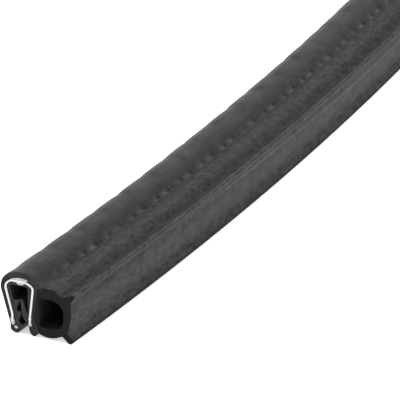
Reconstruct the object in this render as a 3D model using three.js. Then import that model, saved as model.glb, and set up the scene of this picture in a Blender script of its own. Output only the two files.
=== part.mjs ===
import * as THREE from 'three';

// Edge trim with a side bulb, cut to one metre and lying in a gentle bend.
// Millimetres, +Z up. +X runs along the trim at its middle, and the bulb is on the -Y side.
// The section is drawn in two directions: across, which grows towards the bulb and is zero
// midway between the two feet, and up, which is zero on the floor.

// Length of stock and its bend
const trimLength = 1000;
const bendRadius = 1630;
const bendStations = 20;

// Steel insert: corners of the middle line of the strip, with the radius at each
const steelThickness = 0.5;
const legEndUp = 2.6;
const leftKnee = { across: -3.35, up: 4.5, radius: 2 };
const leftShoulder = { across: -5.15, up: 11.4, radius: 0.9 };
const crownUp = 12.8;
const crownLeft = { across: -3.7, radius: 1.2 };
const crownRight = { across: 1, radius: 1.3 };
const rightShoulder = { across: 2.3, up: 11.5, radius: 0.9 };
const rightKnee = { across: 1.35, up: 4.4, radius: 2 };

// Rubber over the strip's outer side, from the left leg over the crown to the right leg
const leftFootCover = 0.3;
const leftCover = 0.88;
const leftShoulderCover = 1.06;
const crownCover = 1.95;
const rightShoulderCover = 1.15;
const rightCover = 0.5;
const hipRadius = 2;
const crownRadius = 2.2;
const creaseRadius = 0.8;

// The channel's rubber laps over the bulb's top beside the crease
const lap = { across: 4.35, thickness: 0.35 };

// Rubber over the strip's inner side, around the slot
const slotLeftCover = 0.8;
const ceilingCover = 0.75;
const slotRightCover = 0.4;
const slotCornerRadius = 0.5;

// Feet
const leftFootRadius = 0.8;
const leftFootInner = { across: -1.95, radius: 0.5 };
const rightFootInner = { across: 1.2, radius: 0.7 };
const rightFootOuter = { across: 2.65, radius: 0.5 };
const heel = { across: 3.4, up: 1 };

// Gripping lips: one long lip from the right foot, and three short ones that reach to it
const longLipRoot = { reach: 0.15, up: 2.35, radius: 0.3 };
const longLipBend = { across: -0.7, up: 4.2, radius: 2.5 };
const longLipTip = { across: -1.35, up: 8.6, width: 0.65 };
const longLipShoulderUp = 4.8;
const upperLip = { rootUp: 8.1, tipUp: 8.2, gulletUp: 6.8 };
const middleLip = { rootUp: 5.4, tipUp: 5.4, gulletUp: 3.1 };
const lowerLip = { rootAcross: -1, rootUp: 2.15, tipUp: 2.8 };
const upperGulletWall = 0.95;
const lowerGulletWall = 1.35;
const lipTipHeight = 0.35;
const lipGap = 0.2;

// Sponge bulb with its two ears
const bulbTopUp = 12.6;
const bulbTopEnd = { across: 8.1, radius: 0.7 };
const bulbSide = { across: 12.2, up: 7, radius: 8 };
const bulbBelly = { across: 6.5, up: 0, radius: 5 };
const upperEar = { valley: 9.6, valleyUp: 10.95, valleyRadius: 1, peak: 12.5, peakUp: 12.3 };
const upperEarTip = { across: 13.05, up: 11.8 };
const upperEarRoot = { across: 11.9, up: 10.1 };
const lowerEarRoot = { across: 11.2, up: 2.5 };
const lowerEarTip = { across: 12.4, up: 1.05 };
const lowerEarSole = { from: 11.2, to: 11.9 };
const lowerEarValley = { across: 9.7, up: 1.7 };
const earRadius = 0.3;

// Bore of the bulb, as walls left round it, the floor's measured from the belly's corner
const boreCeilingWall = 2.75;
const boreSideWall = 2.2;
const boreFloorWall = 2.55;
const boreRootWall = 0.5;
const boreOuterRadius = 3;
const boreRootRadius = 0.6;

// Gap that bonded pieces keep, and the widest angle that one facet of an arc may take
const bondGap = 0.05;
const facetAngle = Math.PI / 6;

const halfStrip = steelThickness / 2;

function corner(across, up, radius = 0) {
  return { at: new THREE.Vector2(across, up), radius };
}

// Outlines

// A straight edge moved sideways, to the left of the way it runs
function edgeBeside(from, to, distance) {
  const direction = to.clone().sub(from).normalize();
  const left = new THREE.Vector2(-direction.y, direction.x);
  return { start: from.clone().addScaledVector(left, distance), direction };
}

function crossing(edge, other) {
  const between = other.start.clone().sub(edge.start);
  const reach = between.cross(other.direction) / edge.direction.cross(other.direction);
  return edge.start.clone().addScaledVector(edge.direction, reach);
}

function acrossAt(edge, up) {
  return edge.start.x + edge.direction.x * (up - edge.start.y) / edge.direction.y;
}

// The facets of one rounded corner of an outline
function roundedCorner(before, here, after) {
  if (here.radius === 0) {
    return [here.at];
  }
  const back = before.at.clone().sub(here.at).normalize();
  const onward = after.at.clone().sub(here.at).normalize();
  const opening = Math.acos(back.dot(onward));
  const turn = Math.PI - opening;
  const facets = Math.ceil(turn / facetAngle);
  const start = here.at.clone().addScaledVector(back, here.radius / Math.tan(opening / 2));
  const middle = back.clone().add(onward).normalize();
  const centre = here.at.clone().addScaledVector(middle, here.radius / Math.sin(opening / 2));
  const spin = Math.sign(onward.cross(back)) * turn;
  const points = [];
  for (let facet = 0; facet <= facets; facet += 1) {
    points.push(start.clone().rotateAround(centre, spin * facet / facets));
  }
  return points;
}

function roundedOutline(corners) {
  return corners.flatMap((here, index) => {
    const before = corners.at(index - 1);
    const after = corners[(index + 1) % corners.length];
    return roundedCorner(before, here, after);
  });
}

// The middle line of the steel strip, from the left leg's end to the right leg's
function stripLine(endUp) {
  return [
    corner(leftKnee.across, endUp),
    corner(leftKnee.across, leftKnee.up, leftKnee.radius),
    corner(leftShoulder.across, leftShoulder.up, leftShoulder.radius),
    corner(crownLeft.across, crownUp, crownLeft.radius),
    corner(crownRight.across, crownUp, crownRight.radius),
    corner(rightShoulder.across, rightShoulder.up, rightShoulder.radius),
    corner(rightKnee.across, rightKnee.up, rightKnee.radius),
    corner(rightKnee.across, endUp),
  ];
}

// The edges of the strip's middle line, each moved outwards by its own distance
function edgesBeside(line, distances) {
  return distances.map((distance, index) => edgeBeside(line[index].at, line[index + 1].at, distance));
}

// One side of a strip of even thickness
function stripSide(line, distance) {
  const edges = edgesBeside(line, new Array(line.length - 1).fill(distance));
  return line.map((here, index) => {
    const last = index === line.length - 1;
    const edge = edges[Math.min(index, edges.length - 1)];
    if (index === 0 || last) {
      return corner(edge.start.x, here.at.y);
    }
    const previous = edges[index - 1];
    const leftTurn = Math.sign(previous.direction.cross(edge.direction));
    const place = crossing(previous, edge);
    return corner(place.x, place.y, here.radius - leftTurn * distance);
  });
}

function stripOutline(growth) {
  const line = stripLine(legEndUp - growth);
  const outer = stripSide(line, halfStrip + growth);
  const inner = stripSide(line, -halfStrip - growth);
  return roundedOutline([...outer, ...inner.reverse()]);
}

// The channel's outer corners over the strip, from the left foot to the heel
function channelBack() {
  const covers = [
    leftFootCover,
    leftCover,
    leftShoulderCover,
    crownCover,
    rightShoulderCover,
    rightCover,
    rightCover,
  ];
  const radii = [hipRadius, hipRadius, crownRadius, crownRadius, creaseRadius, 0];
  const edges = edgesBeside(stripLine(legEndUp), covers.map((cover) => halfStrip + cover));
  return radii.map((radius, index) => {
    const place = crossing(edges[index], edges[index + 1]);
    return corner(place.x, place.y, radius);
  });
}

// The left edge of the long lip, as the short lips meet it
function longLipCorners() {
  const slotRight = rightKnee.across - halfStrip - slotRightCover;
  return {
    slotRight,
    root: corner(slotRight + longLipRoot.reach, longLipRoot.up, longLipRoot.radius),
    bend: corner(longLipBend.across, longLipBend.up, longLipBend.radius),
    tip: corner(longLipTip.across, longLipTip.up),
  };
}

function acrossLongLip(up) {
  const { root, bend, tip } = longLipCorners();
  const lower = edgeBeside(root.at, bend.at, 0);
  const upper = edgeBeside(bend.at, tip.at, 0);
  return acrossAt(up < bend.at.y ? lower : upper, up);
}

function shortLipTip(tipUp) {
  const crest = tipUp + lipTipHeight / 2;
  const chin = tipUp - lipTipHeight / 2;
  return [
    corner(acrossLongLip(crest) - lipGap, crest),
    corner(acrossLongLip(chin) - lipGap, chin),
  ];
}

function channelOutline() {
  const back = channelBack();
  const hollow = back.pop();
  const crease = back.at(-1);
  const lapUnderUp = bulbTopUp - lap.thickness;
  const footEdge = leftKnee.across - halfStrip - leftFootCover;
  const { slotRight, root, bend, tip } = longLipCorners();
  const line = stripLine(legEndUp);
  const slotLeft = edgeBeside(line[1].at, line[2].at, -halfStrip - slotLeftCover);
  const ceilingUp = crownUp - halfStrip - ceilingCover;
  const gullet = leftKnee.across + halfStrip;
  return roundedOutline([
    corner(footEdge, 0, leftFootRadius),
    ...back,
    corner(lap.across, bulbTopUp),
    corner(lap.across, lapUnderUp),
    corner(acrossAt(edgeBeside(crease.at, hollow.at, 0), lapUnderUp), lapUnderUp),
    hollow,
    corner(heel.across, heel.up),
    corner(rightFootOuter.across, 0, rightFootOuter.radius),
    corner(rightFootInner.across, 0, rightFootInner.radius),
    root,
    bend,
    tip,
    corner(longLipTip.across + longLipTip.width, longLipTip.up),
    corner(slotRight, longLipShoulderUp),
    corner(slotRight, ceilingUp, slotCornerRadius),
    corner(acrossAt(slotLeft, ceilingUp), ceilingUp, slotCornerRadius),
    corner(acrossAt(slotLeft, upperLip.rootUp), upperLip.rootUp),
    ...shortLipTip(upperLip.tipUp),
    corner(gullet + upperGulletWall, upperLip.gulletUp),
    corner(gullet + upperGulletWall, middleLip.rootUp),
    ...shortLipTip(middleLip.tipUp),
    corner(gullet + lowerGulletWall, middleLip.gulletUp),
    corner(lowerLip.rootAcross, lowerLip.rootUp),
    ...shortLipTip(lowerLip.tipUp),
    corner(leftFootInner.across, 0, leftFootInner.radius),
  ]);
}

// The bulb's bonded face follows the channel's lap and right side down to the heel
function bulbRoot() {
  const [crease, hollow] = channelBack().slice(-2);
  const upper = edgeBeside(crease.at, hollow.at, bondGap);
  const lower = edgeBeside(hollow.at, new THREE.Vector2(heel.across, heel.up), bondGap);
  const knee = crossing(upper, lower);
  const seamAcross = lap.across + bondGap;
  const lapUnderUp = bulbTopUp - lap.thickness - bondGap;
  return {
    upper,
    lapped: [
      corner(acrossAt(upper, lapUnderUp), lapUnderUp),
      corner(seamAcross, lapUnderUp),
      corner(seamAcross, bulbTopUp),
    ],
    knee: corner(knee.x, knee.y),
    bottom: corner(acrossAt(lower, heel.up), heel.up),
  };
}

function bulbOutline() {
  const { lapped, knee, bottom } = bulbRoot();
  return roundedOutline([
    ...lapped,
    corner(bulbTopEnd.across, bulbTopUp, bulbTopEnd.radius),
    corner(upperEar.valley, upperEar.valleyUp, upperEar.valleyRadius),
    corner(upperEar.peak, upperEar.peakUp, earRadius),
    corner(upperEarTip.across, upperEarTip.up, earRadius),
    corner(upperEarRoot.across, upperEarRoot.up, earRadius),
    corner(bulbSide.across, bulbSide.up, bulbSide.radius),
    corner(lowerEarRoot.across, lowerEarRoot.up, earRadius),
    corner(lowerEarTip.across, lowerEarTip.up, earRadius),
    corner(lowerEarSole.to, 0, earRadius),
    corner(lowerEarSole.from, 0, earRadius),
    corner(lowerEarValley.across, lowerEarValley.up, earRadius),
    corner(bulbBelly.across, bulbBelly.up, bulbBelly.radius),
    bottom,
    knee,
  ]);
}

function boreOutline() {
  const ceilingUp = bulbTopUp - boreCeilingWall;
  const floorUp = bulbBelly.up + boreFloorWall;
  const rootSide = acrossAt(bulbRoot().upper, ceilingUp) + boreRootWall;
  const outerSide = bulbSide.across - boreSideWall;
  return roundedOutline([
    corner(rootSide, ceilingUp, boreRootRadius),
    corner(outerSide, ceilingUp, boreOuterRadius),
    corner(outerSide, floorUp, boreOuterRadius),
    corner(rootSide, floorUp, boreRootRadius),
  ]);
}

// Solids

// Bends a straight extrusion, whose depth runs from the +X end of the trim to the -X end
function bent(geometry) {
  const places = geometry.getAttribute('position');
  for (let index = 0; index < places.count; index += 1) {
    const angle = (trimLength / 2 - places.getZ(index)) / bendRadius;
    const radius = bendRadius + places.getX(index);
    const up = places.getY(index);
    places.setXYZ(index, radius * Math.sin(angle), bendRadius - radius * Math.cos(angle), up);
  }
  return geometry;
}

// Outlines all run clockwise, so a hole is turned round
function bentProfile(outline, ...holes) {
  const shape = new THREE.Shape(outline);
  shape.holes = holes.map((hole) => new THREE.Path(hole.toReversed()));
  const settings = { depth: trimLength, steps: bendStations, bevelEnabled: false };
  return bent(new THREE.ExtrudeGeometry(shape, settings));
}

const denseRubber = { color: 0x26272a, roughness: 0.5, metalness: 0 };
const spongeRubber = { color: 0x303134, roughness: 0.75, metalness: 0 };
const springSteel = { color: 0xb9bcc0, roughness: 0.35, metalness: 1 };

const pieces = [
  ['clamping_channel', bentProfile(channelOutline(), stripOutline(bondGap)), denseRubber],
  ['steel_insert', bentProfile(stripOutline(0)), springSteel],
  ['bulb_seal', bentProfile(bulbOutline(), boreOutline()), spongeRubber],
];

// The trim stands on the floor with the middle of its outline over the origin
const group = new THREE.Group();
for (const [name, geometry, finish] of pieces) {
  const mesh = new THREE.Mesh(geometry, new THREE.MeshStandardMaterial(finish));
  mesh.name = name;
  group.add(mesh);
}
const middle = new THREE.Box3().setFromObject(group).getCenter(new THREE.Vector3());
group.position.set(-middle.x, -middle.y, 0);

export default group;
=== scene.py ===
import bpy
import bmesh
from math import ceil, cos, exp, hypot, pi, radians, sin, tan
from mathutils import Matrix, Vector, noise


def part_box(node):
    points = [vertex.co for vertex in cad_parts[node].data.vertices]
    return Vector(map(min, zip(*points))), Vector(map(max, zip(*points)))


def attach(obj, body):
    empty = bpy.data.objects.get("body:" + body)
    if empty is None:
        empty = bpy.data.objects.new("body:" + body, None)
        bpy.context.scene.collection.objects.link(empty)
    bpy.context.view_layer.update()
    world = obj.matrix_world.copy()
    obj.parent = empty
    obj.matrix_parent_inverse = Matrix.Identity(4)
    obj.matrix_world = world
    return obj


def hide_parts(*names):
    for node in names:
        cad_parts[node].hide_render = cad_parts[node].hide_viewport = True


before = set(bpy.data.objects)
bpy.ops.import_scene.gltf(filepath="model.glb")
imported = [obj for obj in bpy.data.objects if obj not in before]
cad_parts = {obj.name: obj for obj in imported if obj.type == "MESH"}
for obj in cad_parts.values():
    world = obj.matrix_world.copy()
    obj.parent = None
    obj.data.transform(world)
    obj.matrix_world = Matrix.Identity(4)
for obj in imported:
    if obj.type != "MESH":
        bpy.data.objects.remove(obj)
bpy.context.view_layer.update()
print("frame loaded")

mm = 0.001  # pieces are drawn in millimetres and become metres when they are bent
cutFacing = 0.95  # how squarely a cut end's face looks along the trim
stepSlack = 0.3  # how much of a step an edge may be over before it gets one cut more

# The bend that the whole trim lies in
bend = {
    "length": 1000,
    "radius": 1630,
    "lapAcross": 4.35,  # where the channel ends, on the bulb's top
}
nearAngle = -bend["length"] / bend["radius"] / 2
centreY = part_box("clamping_channel")[0].y / mm + bend["lapAcross"] + bend["radius"]


# A place along the trim, across it towards the bulb, and up, put on the bend in metres
def bendPlace(along, across, up):
    angle = nearAngle + along / bend["radius"]
    reach = bend["radius"] + across
    return Vector((reach * sin(angle), centreY - reach * cos(angle), up)) * mm


def bell(distance, width):
    return exp(-((distance / width) ** 2))


# Distance to the nearest of a row of marks
def toMark(along, first, pitch):
    return (along - first + pitch / 2) % pitch - pitch / 2


# Rounds one corner of a flat outline
def roundCorner(bm, vert, radius, facetTurn):
    arms = [(edge.other_vert(vert).co - vert.co).normalized() for edge in vert.link_edges]
    opening = arms[0].angle(arms[1])
    bmesh.ops.bevel(
        bm,
        geom=[vert],
        offset=radius / tan(opening / 2),
        offset_type="OFFSET",
        segments=max(2, ceil((pi - opening) / facetTurn)),
        profile=0.5,
        affect="VERTICES",
        material=-1,
    )


# One closed outline on the near end, from corners given as across, up and radius
def addOutline(bm, corners, facetTurn, spacing):
    known = set(bm.faces)
    verts = [bm.verts.new((0, across, up)) for across, up, radius in corners]
    bm.faces.new(verts)
    for vert, (across, up, radius) in zip(verts, corners):
        if radius:
            roundCorner(bm, vert, radius, facetTurn)
    face = next(found for found in bm.faces if found not in known)
    for edge in list(face.edges):
        middle = (edge.verts[0].co + edge.verts[1].co) / 2
        cuts = ceil(edge.calc_length() / spacing(middle) - stepSlack) - 1
        if cuts > 0:
            bmesh.ops.subdivide_edges(bm, edges=[edge], cuts=cuts)
    return list(face.edges)


# Fills the outlines and runs the section straight along the trim's length
def runSection(bm, edges, stations, rim):
    bmesh.ops.delete(bm, geom=bm.faces[:], context="FACES_ONLY")
    bmesh.ops.triangle_fill(bm, use_beauty=True, edges=edges, normal=(-1, 0, 0))
    print("section of", len(edges), "edges")
    made = bmesh.ops.extrude_face_region(bm, geom=bm.faces[:], use_keep_orig=True)
    farVerts = [found for found in made["geom"] if isinstance(found, bmesh.types.BMVert)]
    bmesh.ops.translate(bm, verts=farVerts, vec=(bend["length"], 0, 0))
    bmesh.ops.recalc_face_normals(bm, faces=bm.faces)
    if rim:
        rimEdges = [edge for edge in bm.edges if isRim(edge)]
        bmesh.ops.bevel(
            bm,
            geom=rimEdges,
            offset=rim,
            offset_type="OFFSET",
            segments=2,
            profile=0.5,
            affect="EDGES",
            material=-1,
        )
    longEdges = [edge for edge in bm.edges if isLong(edge)]
    bmesh.ops.subdivide_edges(bm, edges=longEdges, cuts=stations - 1, use_grid_fill=True)
    bm.normal_update()


def runLength(edge):
    return abs(edge.verts[0].co.x - edge.verts[1].co.x)


def isLong(edge):
    return runLength(edge) > bend["length"] / 2


# An edge round a cut end, where the trim's sides turn by a right angle
def isRim(edge):
    return abs(edge.calc_face_angle(0) - pi / 2) < 0.1 and not isLong(edge)


# Bends a straight piece and hands it over, with its skin material first and its cut one second
def finishPiece(bm, name, node, materials):
    place = bm.verts.layers.float_vector.new("trimPlace")
    for face in bm.faces:
        isCut = abs(face.normal.x) > cutFacing and not face.material_index
        if isCut:
            face.material_index = 1
        face.smooth = not isCut
    for vert in bm.verts:
        vert[place] = vert.co
        vert.co = bendPlace(*vert.co)
    mesh = bpy.data.meshes.new(name)
    bm.to_mesh(mesh)
    bm.free()
    for material in materials:
        mesh.materials.append(material)
    piece = bpy.data.objects.new(name, mesh)
    bpy.context.scene.collection.objects.link(piece)
    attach(piece, "root")
    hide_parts(node)
    print(name, len(mesh.polygons), "faces")


# Helpers for node materials
def newMaterial(name):
    material = bpy.data.materials.new(name)
    material.use_nodes = True
    tree = material.node_tree
    return material, tree, tree.nodes["Principled BSDF"]


def addNode(tree, kind, inputs=None, **settings):
    node = tree.nodes.new(kind)
    for key, value in settings.items():
        setattr(node, key, value)
    for key, value in (inputs or {}).items():
        node.inputs[key].default_value = value
    return node


def addNoise(tree, vector, scale, detail=4, roughness=0.6):
    inputs = {"Scale": scale, "Detail": detail, "Roughness": roughness}
    node = addNode(tree, "ShaderNodeTexNoise", inputs)
    tree.links.new(vector, node.inputs["Vector"])
    return node.outputs["Fac"]


def addRange(tree, value, low, high, fromLow=0.3, fromHigh=0.7):
    inputs = {"From Min": fromLow, "From Max": fromHigh, "To Min": low, "To Max": high}
    node = addNode(tree, "ShaderNodeMapRange", inputs)
    tree.links.new(value, node.inputs["Value"])
    return node.outputs["Result"]


def addBump(tree, height, strength, distance, normal=None):
    node = addNode(tree, "ShaderNodeBump", {"Strength": strength, "Distance": distance})
    tree.links.new(height, node.inputs["Height"])
    if normal is not None:
        tree.links.new(normal, node.inputs["Normal"])
    return node.outputs["Normal"]


def addBlend(tree, share, first, second):
    node = addNode(tree, "ShaderNodeMix", data_type="RGBA")
    for socket, value in ((0, share), (6, first), (7, second)):
        if isinstance(value, bpy.types.NodeSocket):
            tree.links.new(value, node.inputs[socket])
        else:
            node.inputs[socket].default_value = value
    return node.outputs[2]


def addMixed(tree, share, first, second):
    node = addNode(tree, "ShaderNodeMix", {0: share}, data_type="FLOAT")
    tree.links.new(first, node.inputs[2])
    tree.links.new(second, node.inputs[3])
    return node.outputs[0]


def addMath(tree, operation, *values):
    node = addNode(tree, "ShaderNodeMath", operation=operation)
    for socket, value in zip(node.inputs, values):
        if isinstance(value, bpy.types.NodeSocket):
            tree.links.new(value, socket)
        else:
            socket.default_value = value
    return node.outputs[0]


def addBell(tree, distance, width):
    share = addMath(tree, "DIVIDE", distance, width)
    squared = addMath(tree, "MULTIPLY", share, share)
    return addMath(tree, "EXPONENT", addMath(tree, "MULTIPLY", squared, -1))


def grey(level, tint=(1, 1, 1)):
    return [level * channel for channel in tint] + [1]


def addPlace(tree, scale):
    attribute = addNode(tree, "ShaderNodeAttribute", attribute_name="trimPlace")
    mapping = addNode(tree, "ShaderNodeMapping", {"Scale": scale})
    tree.links.new(attribute.outputs["Vector"], mapping.inputs["Vector"])
    return mapping.outputs["Vector"]


paintedLightRange = (-2, 1)  # painted light, from the deepest painted shade to the strongest painted highlight; 0 is the plain skin
shareRange = (0.35, 0.65)  # the noise that goes from the darkest to the lightest rubber
grainDepth = 0.0002


def rubberMaterial(name, look):
    material, tree, shader = newMaterial(name)
    objectPlace = addNode(tree, "ShaderNodeTexCoord").outputs["Object"]
    grainPlace = addPlace(tree, look["grainScale"])
    streakPlace = addPlace(tree, look["streakScale"])
    grain = addNoise(tree, grainPlace, 1.0, detail=5, roughness=0.65)
    cloud = addNoise(tree, objectPlace, look["cloudScale"], detail=3, roughness=0.5)
    streak = addNoise(tree, streakPlace, 1.0, detail=4, roughness=0.55)
    soft = addMixed(tree, look["streakShare"], cloud, streak)
    share = addRange(tree, addMixed(tree, look["grainShare"], soft, grain), 0, 1, *shareRange)
    dark, light, paintedHighlight, shaded = [
        grey(look[level], look["tint"]) for level in ("dark", "light", "paintedHighlight", "shaded")
    ]
    colour = addBlend(tree, share, dark, light)
    # Painted light from the vertices: blended towards the painted-highlight colour above 0 and the
    # shaded colour below
    paintedLight = addNode(tree, "ShaderNodeAttribute", attribute_name="paintedLight").outputs["Fac"]
    if look["marked"]:
        relief = addMarks(tree)
        paintedLight = addMath(tree, "MULTIPLY_ADD", relief, marks["paintedLight"], paintedLight)
    colour = addBlend(tree, addRange(tree, paintedLight, 0, 1, 0, 1), colour, paintedHighlight)
    colour = addBlend(tree, addRange(tree, paintedLight, 1, 0, -1, 0), colour, shaded)
    tree.links.new(colour, shader.inputs["Base Color"])
    sheen = addRange(tree, share, *look["sheen"], 0, 1)
    # The painted light also scales the specular level: less in painted shade, more in painted
    # highlight
    paintedLightSheen = addRange(tree, paintedLight, *look["paintedLightSheen"], *paintedLightRange)
    tree.links.new(addMath(tree, "MULTIPLY", sheen, paintedLightSheen), shader.inputs["Specular IOR Level"])
    tree.links.new(addRange(tree, grain, *look["roughness"]), shader.inputs["Roughness"])
    coarse = addBump(tree, streak, look["streakBump"], grainDepth)
    fine = addBump(tree, grain, look["grainBump"], grainDepth, coarse)
    if look["marked"]:
        fine = addBump(tree, relief, 1, mm, fine)
    tree.links.new(fine, shader.inputs["Normal"])
    return material


# Dimples and bumps along the crease, where the steel insert's fingers press through the rubber
# Their height is also painted into the colour, as painted highlight on the bumps and painted shade
# in the dimples.
marks = {
    "pitch": 12.27,  # one finger and one window of the insert
    "row": [  # first place along, height, reach along, place across and reach across
        (8.3, 0.22, 0.75, 3.5, 0.6),
        (0.95, 0.26, 1.25, 3.45, 0.65),
        (3.4, -0.2, 0.9, 3.3, 0.75),
        (5.6, -0.1, 1.1, 3.2, 0.7),
        (10.3, -0.16, 0.8, 3.3, 0.65),
    ],
    "slant": 0.5,  # how far they lean back along the trim for each millimetre across
    "above": 11,  # the crown alone has them
    "paintedLight": 3.2,  # painted light: how much lighter each millimetre of height makes the skin
    "near": (0.3, 25),  # how strong they are at the near end, and where they are full
    "vary": (0.5, 1.5),  # weakest and strongest of the row
    "varyScale": (0.06, 0, 0),
}


def addMarks(tree):
    place = addNode(tree, "ShaderNodeSeparateXYZ")
    tree.links.new(addPlace(tree, (1, 1, 1)), place.inputs[0])
    along, across, up = place.outputs
    half = marks["pitch"] / 2
    total = 0
    for first, height, reachAlong, placeAcross, reachAcross in marks["row"]:
        aside = addMath(tree, "SUBTRACT", across, placeAcross)
        leant = addMath(tree, "MULTIPLY_ADD", aside, marks["slant"], along)
        wrapped = addMath(tree, "WRAP", leant, first + half, first - half)
        away = addMath(tree, "SUBTRACT", wrapped, first)
        bells = addBell(tree, away, reachAlong), addBell(tree, aside, reachAcross)
        mark = addMath(tree, "MULTIPLY", *bells)
        total = addMath(tree, "MULTIPLY_ADD", mark, height, total)
    least, full = marks["near"]
    strength = addMath(tree, "MINIMUM", addMath(tree, "MULTIPLY_ADD", along, 1 / full, least), 1)
    variation = addNoise(tree, addPlace(tree, marks["varyScale"]), 1.0, detail=1)
    varied = addRange(tree, variation, *marks["vary"])
    onTop = addMath(tree, "GREATER_THAN", up, marks["above"])
    strength = addMath(tree, "MULTIPLY", addMath(tree, "MULTIPLY", strength, varied), onTop)
    return addMath(tree, "MULTIPLY", total, strength)


rubberLooks = {
    "channelSkin": {
        "marked": True,
        "grainScale": (0.5, 1.0, 1.0),
        "cloudScale": 240,
        "streakScale": (0.08, 1.2, 1.2),
        "streakShare": 0.45,
        "grainShare": 0.5,
        "dark": 0.008,
        "light": 0.030,
        "paintedHighlight": 0.060,
        "shaded": 0.003,
        "tint": (1.0, 1.0, 1.02),
        "roughness": (0.42, 0.62),
        "grainBump": 0.6,
        "streakBump": 0.25,
        "sheen": (0.24, 0.47),
        "paintedLightSheen": (0, 1.5),
    },
    "channelCut": {
        "marked": False,
        "grainScale": (2.6, 2.6, 2.6),
        "cloudScale": 900,
        "streakScale": (1, 1, 1),
        "streakShare": 0.3,
        "grainShare": 0.4,
        "dark": 0.008,
        "light": 0.018,
        # The cut face takes the slot's painted shade at its edge; its shaded colour is lighter, so
        # the lips are painted lighter
        "paintedHighlight": 0.05,
        "shaded": 0.05,
        "tint": (1.0, 1.0, 1.02),
        "roughness": (0.7, 0.85),
        "grainBump": 0.4,
        "streakBump": 0.2,
        "sheen": (0.15, 0.25),
        "paintedLightSheen": (1, 1),
    },
    "bulbSkin": {
        "marked": False,
        "grainScale": (0.6, 1.2, 1.2),
        "cloudScale": 380,
        "streakScale": (0.25, 1.0, 1.0),
        "streakShare": 0.25,
        "grainShare": 0.7,
        "dark": 0.006,
        "light": 0.034,
        "paintedHighlight": 0.055,
        "shaded": 0.003,
        "tint": (1.0, 1.0, 1.01),
        "roughness": (0.55, 0.85),
        "grainBump": 0.7,
        "streakBump": 0.2,
        "sheen": (0.14, 0.46),
        "paintedLightSheen": (0, 1.5),
    },
    "bulbCut": {
        "marked": False,
        "grainScale": (2.4, 2.4, 2.4),
        "cloudScale": 1200,
        "streakScale": (1, 1, 1),
        "streakShare": 0.2,
        "grainShare": 0.5,
        "dark": 0.006,
        "light": 0.013,
        "paintedHighlight": 0.05,
        "shaded": 0.006,
        "tint": (1.0, 1.0, 1.01),
        "roughness": (0.8, 0.95),
        "grainBump": 0.7,
        "streakBump": 0.2,
        "sheen": (0.08, 0.16),
        "paintedLightSheen": (1, 1),
    },
}
rubber = {name: rubberMaterial(name, look) for name, look in rubberLooks.items()}
print("rubber materials made")


steelLooks = {  # darkest and lightest grey, and the roughness
    "steelStrip": (0.45, 0.7, (0.25, 0.45)),
    "steelCutEdge": (0.45, 0.65, (0.35, 0.6)),
    "steelSmear": (0.25, 0.62, (0.5, 0.8)),
}
steelGrain = {"scale": 2400, "bump": 0.3, "depth": 0.0001}


def steelMaterial(name, dark, light, roughness):
    material, tree, shader = newMaterial(name)
    objectPlace = addNode(tree, "ShaderNodeTexCoord").outputs["Object"]
    grain = addNoise(tree, objectPlace, steelGrain["scale"])
    colour = addBlend(tree, addRange(tree, grain, 0, 1), grey(dark), grey(light))
    normal = addBump(tree, grain, steelGrain["bump"], steelGrain["depth"])
    tree.links.new(colour, shader.inputs["Base Color"])
    tree.links.new(addRange(tree, grain, *roughness), shader.inputs["Roughness"])
    tree.links.new(normal, shader.inputs["Normal"])
    shader.inputs["Metallic"].default_value = 1.0
    return material


steel = [steelMaterial(name, *look) for name, look in steelLooks.items()]
print("steel materials made")

# The dense rubber channel: corners of its outline as across, up and radius
channel = {
    "back": [
        (-3.95, 0.5, 0.7),
        (-3.95, 2.15, 2),
        (-6.88, 12.1, 3.4),
        (-3.75, 15.34, 4.1),
        (0.8, 15.25, 3.6),
        (3.2, 12.62, 1.2),
        (4.35, 12.62, 0.06),
        (4.35, 12.25, 0),
        (3.17, 12.25, 0),
        (2.1, 4.35, 0),
        (3.4, 1, 0),
        (2.3, -0.17, 0.6),
        (1.15, 0.7, 0.8),
    ],
    "slot": [
        (0.85, 2.35, 0.3),
        (-0.7, 4.2, 2.5),
        (-1.35, 8.6, 0.12),
        (-0.7, 8.6, 0.2),
        (0.7, 4.8, 0.1),
        (0.7, 11.8, 0.5),
        (-4.15, 11.8, 0.5),
        (-3.2, 8.1, 0.3),
        (-1.52, 8.38, 0.1),
        (-1.47, 8.02, 0.12),
        (-2.15, 6.8, 0.4),
        (-2.15, 5.4, 0.2),
        (-1.1, 5.58, 0.1),
        (-1.05, 5.23, 0.12),
        (-1.75, 3.1, 0.3),
        (-1, 2.15, 0.3),
        (0.13, 2.97, 0.08),
        (0.42, 2.63, 0.08),
        (-2.15, -0.22, 1.18),
    ],
    "stations": 240,
    "crownCuts": 3,  # the crown's relief needs finer steps than the stations
    "facetTurn": radians(14),
    "crownFrom": 11.9,
    "crownSpacing": 0.75,
    "plainSpacing": 3,
    "rim": 0.1,
    "notch": {  # the crown's dips at the insert's windows
        "first": 4.2,
        "height": -0.15,
        "length": 2.1,
        "drift": 0.9,  # how unlike one another they are
        "driftScale": (1.7, 0.2, 1),
        "seed": 3,
        "across": 1.5,  # where they begin
        "fade": 3,  # and how far on they are full
    },
    "paintedLightBands": [  # across, up and reach of a band of painted shade or painted highlight, and how much lighter it is
        (2.3, 13.7, 1.1, -0.42),
        (3.8, 12.6, 0.8, -0.45),
        (-3.8, 14.9, 0.8, 0.15),
    ],
    "dipPaintedShade": 3.2,  # painted shade in the dips: how much lighter each millimetre of height makes the skin
    "nearPaintedHighlight": (2.5, -3.2, 6, 1.6, 0.6),  # painted highlight by the near end: along, across, both reaches, and how much lighter
    "wave": 0.06,
    "waveScale": (0.12, 0.3, 0.3),
    "reliefFade": 0.6,  # height over which the relief starts
    "innerBelow": 12,
    "innerShade": -0.35,
    "inner": {  # what lies between the slot's walls
        "left": -4.3,
        "right": 0.95,
        "above": 0.6,
        "wallFoot": -3.0,  # the left wall, and how it leans out for each millimetre up
        "wallLean": -0.11,
    },
}

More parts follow.
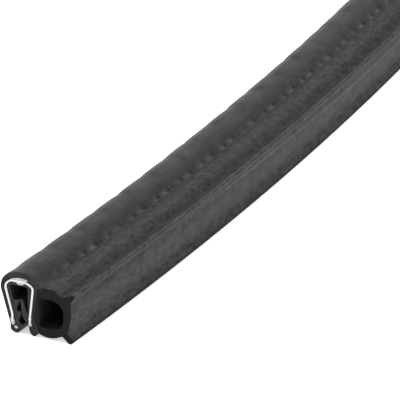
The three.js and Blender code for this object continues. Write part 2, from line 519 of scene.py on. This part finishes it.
# The steel that the channel closes round, as the middle line of the strip
insert = {
    "thickness": 0.38,
    "clearance": 0.05,
    "proud": 0.17,  # how far the strip stands out of the rubber's cut ends
    "line": [
        (-3.35, 2.6, 0),
        (-3.35, 4.5, 2),
        (-5.25, 11.55, 1.5),
        (-3.75, 12.88, 1.9),
        (0.3, 12.95, 2.4),
        (2.15, 12.0, 1.0),
        (1.25, 4.4, 2),
        (1.25, 2.6, 0),
    ],
    "facetTurn": radians(12),
    "spacing": 4,
    "stations": 200,
    "smears": [  # across, up, width, height and tilt of the metal smeared over the cut ends
        (-1.6, 13.15, 4.5, 1.15, 7),
        (-1.2, 12.6, 2.1, 1.0, 3),
        (-3.3, 2.8, 1.05, 1.9, 12),
        (-2.4, 1.45, 0.95, 0.75, 0),
        (1.25, 4.2, 0.85, 0.85, 0),
        (1.3, 2.85, 0.85, 1.1, 5),
    ],
    "smearDepth": 0.3,
    "smearRough": 0.12,
    "smearGrain": 1.6,
    "smearFineness": 3,  # how much smaller the second lumps are
    "smearFineShare": 0.5,
}


# Smooth noise between -1 and 1, with a scale for each direction
def waveAt(scale, along, across, up):
    return noise.noise(Vector((along * scale[0], across * scale[1], up * scale[2])))


# How far the crown's skin dips at the insert's windows, and its slow waves
def channelRelief(along, across, up):
    pitch = marks["pitch"]
    notch = channel["notch"]
    window = round(along / pitch)
    drift = 1 + notch["drift"] * waveAt(notch["driftScale"], window, across, notch["seed"])
    dip = notch["height"] * drift * bell(toMark(along, notch["first"], pitch), notch["length"])
    grown = min(1, max(0, (notch["across"] - across) / notch["fade"]))
    return dip * grown, channel["wave"] * waveAt(channel["waveScale"], along, across, up)


# Whether a place is on the slot's walls or lips and not on the trim's outside
def isInside(across, up):
    inner = channel["inner"]
    leftWall = inner["wallFoot"] + up * inner["wallLean"]
    return max(inner["left"], leftWall) < across < inner["right"] and up > inner["above"]


def paintedBandTone(bands, across, up):
    total = 0
    for place, height, reach, tone in bands:
        total += tone * bell(hypot(across - place, up - height), reach)
    return total


def nearPaintedHighlight(along, across):
    placeAlong, placeAcross, reachAlong, reachAcross, tone = channel["nearPaintedHighlight"]
    return tone * bell(along - placeAlong, reachAlong) * bell(across - placeAcross, reachAcross)


def clampedTone(tone):
    dullest, shiniest = paintedLightRange
    return max(dullest, min(shiniest, tone))


def makeChannel():
    bm = bmesh.new()
    skin = bm.verts.layers.int.new("skin")
    paintedLight = bm.verts.layers.float.new("paintedLight")

    def spacing(middle):
        onCrown = middle.z > channel["crownFrom"]
        return channel["crownSpacing"] if onCrown else channel["plainSpacing"]

    corners = channel["back"] + channel["slot"]
    outline = addOutline(bm, corners, channel["facetTurn"], spacing)
    for edge in outline:
        for vert in edge.verts:
            vert[skin] = 1
    pocket = addOutline(bm, stripOutline(insert["clearance"]), insert["facetTurn"], stripSpacing)
    runSection(bm, outline + pocket, channel["stations"], channel["rim"])

    def onCrown(edge):
        isHigh = all(vert[skin] and vert.co.z > channel["crownFrom"] for vert in edge.verts)
        return isHigh and runLength(edge) > 2 * channel["rim"]

    crownEdges = [edge for edge in bm.edges if onCrown(edge)]
    bmesh.ops.subdivide_edges(bm, edges=crownEdges, cuts=channel["crownCuts"], use_grid_fill=True)
    bm.normal_update()
    for vert in bm.verts:
        along, across, up = vert.co
        if vert[skin] and up > channel["crownFrom"]:
            dip, wave = channelRelief(along, across, up)
            outward = Vector((0, vert.normal.y, vert.normal.z)).normalized()
            grown = min(1, (up - channel["crownFrom"]) / channel["reliefFade"])
            vert.co += outward * (dip + wave) * grown
            # Painted light on the crown: painted shade in the dips, bands of painted shade and
            # highlight, and a painted highlight by the near end
            tone = dip * channel["dipPaintedShade"] + paintedBandTone(channel["paintedLightBands"], across, up)
            vert[paintedLight] = clampedTone(tone + nearPaintedHighlight(along, across))
        if up < channel["innerBelow"] and vert[skin] and isInside(across, up):
            vert[paintedLight] = channel["innerShade"]
    finishes = [rubber["channelSkin"], rubber["channelCut"]]
    finishPiece(bm, "channelRubber", "clamping_channel", finishes)


def stripSpacing(middle):
    return insert["spacing"]


# The strip's outline: its middle line moved out to each side
def stripOutline(growth):
    line = [Vector((across, up)) for across, up, radius in insert["line"]]
    half = insert["thickness"] / 2 + growth

    def moved(distance):
        corners = []
        for index, corner in enumerate(line):
            before = (corner - line[index - 1]).normalized() if index else Vector((0, 1))
            isLast = index + 1 == len(line)
            after = Vector((0, -1)) if isLast else (line[index + 1] - corner).normalized()
            normal = Vector((-before.y, before.x))
            slant = (normal + Vector((-after.y, after.x))).normalized()
            place = corner + slant * distance / slant.dot(normal)
            turnsLeft = before.x * after.y > before.y * after.x
            radius = insert["line"][index][2]
            if radius:
                radius -= distance if turnsLeft else -distance
            if index == 0 or isLast:
                place.y -= growth
            corners.append((place.x, place.y, radius))
        return corners

    return moved(half) + moved(-half)[::-1]


# A flat burr of metal on a cut end
def addSmear(bm, along, across, up, width, height, tilt):
    made = bmesh.ops.create_icosphere(bm, subdivisions=4, radius=1)
    for vert in made["verts"]:
        place = Vector((along, across * 3 + vert.co.y * width, up * 3 + vert.co.z * height))
        seed = place * insert["smearGrain"]
        fineLump = noise.noise(seed * insert["smearFineness"])
        lump = noise.noise(seed) + insert["smearFineShare"] * fineLump
        vert.co *= 1 + insert["smearRough"] * lump
    halfSize = (insert["smearDepth"] / 2, width / 2, height / 2)
    bmesh.ops.scale(bm, verts=made["verts"], vec=halfSize)
    bmesh.ops.rotate(bm, verts=made["verts"], matrix=Matrix.Rotation(radians(tilt), 3, "X"))
    bmesh.ops.translate(bm, verts=made["verts"], vec=(along, across, up))
    for vert in made["verts"]:
        for face in vert.link_faces:
            face.material_index = 2


def makeInsert():
    bm = bmesh.new()
    outline = addOutline(bm, stripOutline(0), insert["facetTurn"], stripSpacing)
    runSection(bm, outline, insert["stations"], 0)
    for vert in bm.verts:
        if vert.co.x < insert["proud"]:
            vert.co.x = -insert["proud"]
        if vert.co.x > bend["length"] - insert["proud"]:
            vert.co.x = bend["length"] + insert["proud"]
    for end in (0, bend["length"]):
        for smear in insert["smears"]:
            addSmear(bm, end, *smear)
    bm.normal_update()
    finishPiece(bm, "insertStrip", "steel_insert", steel)


# The sponge bulb: outline and bore
bulb = {
    "outline": [
        (3.19, 12.23, 0),
        (4.37, 12.23, 0),
        (4.37, 12.6, 0.06),
        (8.1, 12.6, 0.9),
        (9.5, 10.95, 1.1),
        (12.55, 12.4, 0.3),
        (13.15, 11.85, 0.35),
        (11.9, 10.1, 0.5),
        (12.2, 7, 8),
        (11.2, 2.5, 0.5),
        (12.55, 1.0, 0.3),
        (12.05, 0, 0.4),
        (11.3, 0, 0.3),
        (9.6, 1.5, 0.5),
        (6.5, 0, 5),
        (3.45, 1, 0),
        (2.15, 4.36, 0),
    ],
    "bore": [
        (3.4, 9.85, 0.6),
        (10, 9.85, 3),
        (10, 2.55, 3),
        (3.4, 2.55, 0.6),
    ],
    "stations": 380,
    "facetTurn": radians(12),
    "spacing": 0.6,
    "boreSpacing": 2.4,
    "rim": 0.1,
    "wave": 0.05,
    "waveScale": (0.15, 0.3, 0.3),
    "outsideFrom": (3.5, 0.5),  # waves and painted light start past this place, across and up
    "paintedLightBands": [  # across, up and reach of a band of painted shade or painted highlight, and how much lighter it is
        (4.6, 12.6, 0.5, -0.3),
        (12.6, 12.35, 0.3, 0.5),
        (11.2, 11.6, 1.3, -0.6),
        (9.5, 10.9, 0.8, -0.25),
        (8.8, 11.8, 0.7, 0.2),
        (11.9, 8.8, 1.2, -0.15),
        (12.6, 0.8, 0.3, -2),
    ],
    "line": {  # the fold that wanders along the side wall below the upper ear
        "up": 9.0,
        "wander": 0.75,
        "from": 40,
        "length": 280,
        "turns": 50,  # where along the trim it turns from sunk and painted darker to raised and painted lighter
        "rise": 30,
        "sunkShaded": -0.5,
        "width": 0.3,
        "height": 0.06,
        # painted light for each unit of the fold's height: painted highlight where raised, painted
        # shade where sunk
        "paintedLight": 0.6,
        "low": 8,
        "high": 10.3,
        "across": 11,  # the side wall is past this
        "spacing": 0.17,
    },
    "boreShade": -0.5,
}


# How far the side wall's fold stands out: sunk and painted darker by the near end, raised and
# painted lighter further on
def foldHeight(along, up):
    line = bulb["line"]
    turn = (along - line["from"]) / line["length"] * 2 * pi
    middle = line["up"] + line["wander"] * cos(turn)
    grown = max(line["sunkShaded"], min(1, (along - line["turns"]) / line["rise"]))
    return grown * bell(up - middle, line["width"])


def makeBulb():
    bm = bmesh.new()
    paintedLight = bm.verts.layers.float.new("paintedLight")
    skin = bm.verts.layers.int.new("skin")
    line = bulb["line"]

    def spacing(middle):
        nearFold = middle.y > line["across"] and line["low"] < middle.z < line["high"]
        return line["spacing"] if nearFold else bulb["spacing"]

    outline = addOutline(bm, bulb["outline"], bulb["facetTurn"], spacing)
    for edge in outline:
        for vert in edge.verts:
            vert[skin] = 1

    def boreSpacing(middle):
        return bulb["boreSpacing"]

    bore = addOutline(bm, bulb["bore"], bulb["facetTurn"], boreSpacing)
    runSection(bm, outline + bore, bulb["stations"], bulb["rim"])
    fromAcross, fromUp = bulb["outsideFrom"]
    for vert in bm.verts:
        along, across, up = vert.co
        if vert[skin] and across > fromAcross and up > fromUp:
            outward = Vector((0, vert.normal.y, vert.normal.z)).normalized()
            wave = waveAt(bulb["waveScale"], along, across, up)
            vert.co += outward * bulb["wave"] * wave
            # Painted light on the bulb: bands of painted shade and highlight, with a painted
            # shadow along the bottom edge
            tone = paintedBandTone(bulb["paintedLightBands"], across, up)
            if across > line["across"]:
                fold = foldHeight(along, up)
                vert.co += outward * fold * line["height"]
                # the fold's painted highlight, and painted shade where it is sunk
                tone += fold * line["paintedLight"]
            vert[paintedLight] = clampedTone(tone)
        if not vert[skin]:
            vert[paintedLight] = bulb["boreShade"]
    finishes = [rubber["bulbSkin"], rubber["bulbCut"]]
    finishPiece(bm, "bulbSponge", "bulb_seal", finishes)


makeChannel()
makeInsert()
makeBulb()
print("pieces made")

# Camera, set from where the near end stood in the photograph
shot = {
    "turn": radians(28.195),  # left of the way the trim runs at its near end
    "dip": radians(22.431),
    "behind": 0.94047,
    "aside": 0.54929,
    "height": 0.48251,
    "lens": 470.2,
    "sensor": 36,
    "clip": (0.05, 50),
}


def makeCamera():
    tangent = Vector((cos(nearAngle), sin(nearAngle), 0))
    left = Vector((-sin(nearAngle), cos(nearAngle), 0))
    nearEnd = bendPlace(0, 0, 0)
    level = tangent * cos(shot["turn"]) + left * sin(shot["turn"])
    forward = level * cos(shot["dip"]) - Vector((0, 0, sin(shot["dip"])))
    stand = nearEnd - tangent * shot["behind"] - left * shot["aside"]
    camera = bpy.data.objects.new("camera", bpy.data.cameras.new("camera"))
    camera.location = stand + Vector((0, 0, shot["height"]))
    camera.rotation_euler = forward.to_track_quat("-Z", "Y").to_euler()
    camera.data.lens = shot["lens"]
    camera.data.sensor_width = shot["sensor"]
    camera.data.clip_start, camera.data.clip_end = shot["clip"]
    bpy.context.scene.collection.objects.link(camera)
    bpy.context.scene.camera = camera


makeCamera()

# Pale floor and soft studio light
studio = {
    "floorSize": 8,
    "floorGrey": 0.9,
    "floorRoughness": 0.9,
    "floorGlow": 0.55,
    "floorDrop": 0.00002,
    "world": 0.9,
    "softboxSize": 1.0,
    "softboxes": {  # place from the near end, and power
        "overhead": ((0.3, 0.9, 1.2), 18),
        "sideFill": ((-0.3, -1.5, 0.45), 14),
    },
}


def makeStudio():
    material, tree, shader = newMaterial("paleFloor")
    shader.inputs["Base Color"].default_value = grey(studio["floorGrey"])
    shader.inputs["Roughness"].default_value = studio["floorRoughness"]
    shader.inputs["Emission Color"].default_value = grey(1)
    shader.inputs["Emission Strength"].default_value = studio["floorGlow"]
    bm = bmesh.new()
    made = bmesh.ops.create_grid(bm, x_segments=1, y_segments=1, size=studio["floorSize"] / 2)
    bmesh.ops.translate(bm, verts=made["verts"], vec=(0, 0, -studio["floorDrop"]))
    mesh = bpy.data.meshes.new("floor")
    bm.to_mesh(mesh)
    bm.free()
    mesh.materials.append(material)
    floor = bpy.data.objects.new("floor", mesh)
    bpy.context.scene.collection.objects.link(floor)
    world = bpy.data.worlds.new("studio")
    world.use_nodes = True
    background = world.node_tree.nodes["Background"]
    background.inputs["Color"].default_value = (1, 1, 1, 1)
    background.inputs["Strength"].default_value = studio["world"]
    bpy.context.scene.world = world


def addSoftbox(name, place, target, power):
    light = bpy.data.objects.new(name, bpy.data.lights.new(name, "AREA"))
    light.data.shape = "SQUARE"
    light.data.size = studio["softboxSize"]
    light.data.energy = power
    light.location = place
    light.rotation_euler = (target - place).to_track_quat("-Z", "Y").to_euler()
    bpy.context.scene.collection.objects.link(light)


makeStudio()
nearEnd = bendPlace(0, 0, 0)
for name, (offset, power) in studio["softboxes"].items():
    addSoftbox(name, nearEnd + Vector(offset), nearEnd, power)
bpy.context.scene.view_settings.view_transform = "Standard"
print("studio set")
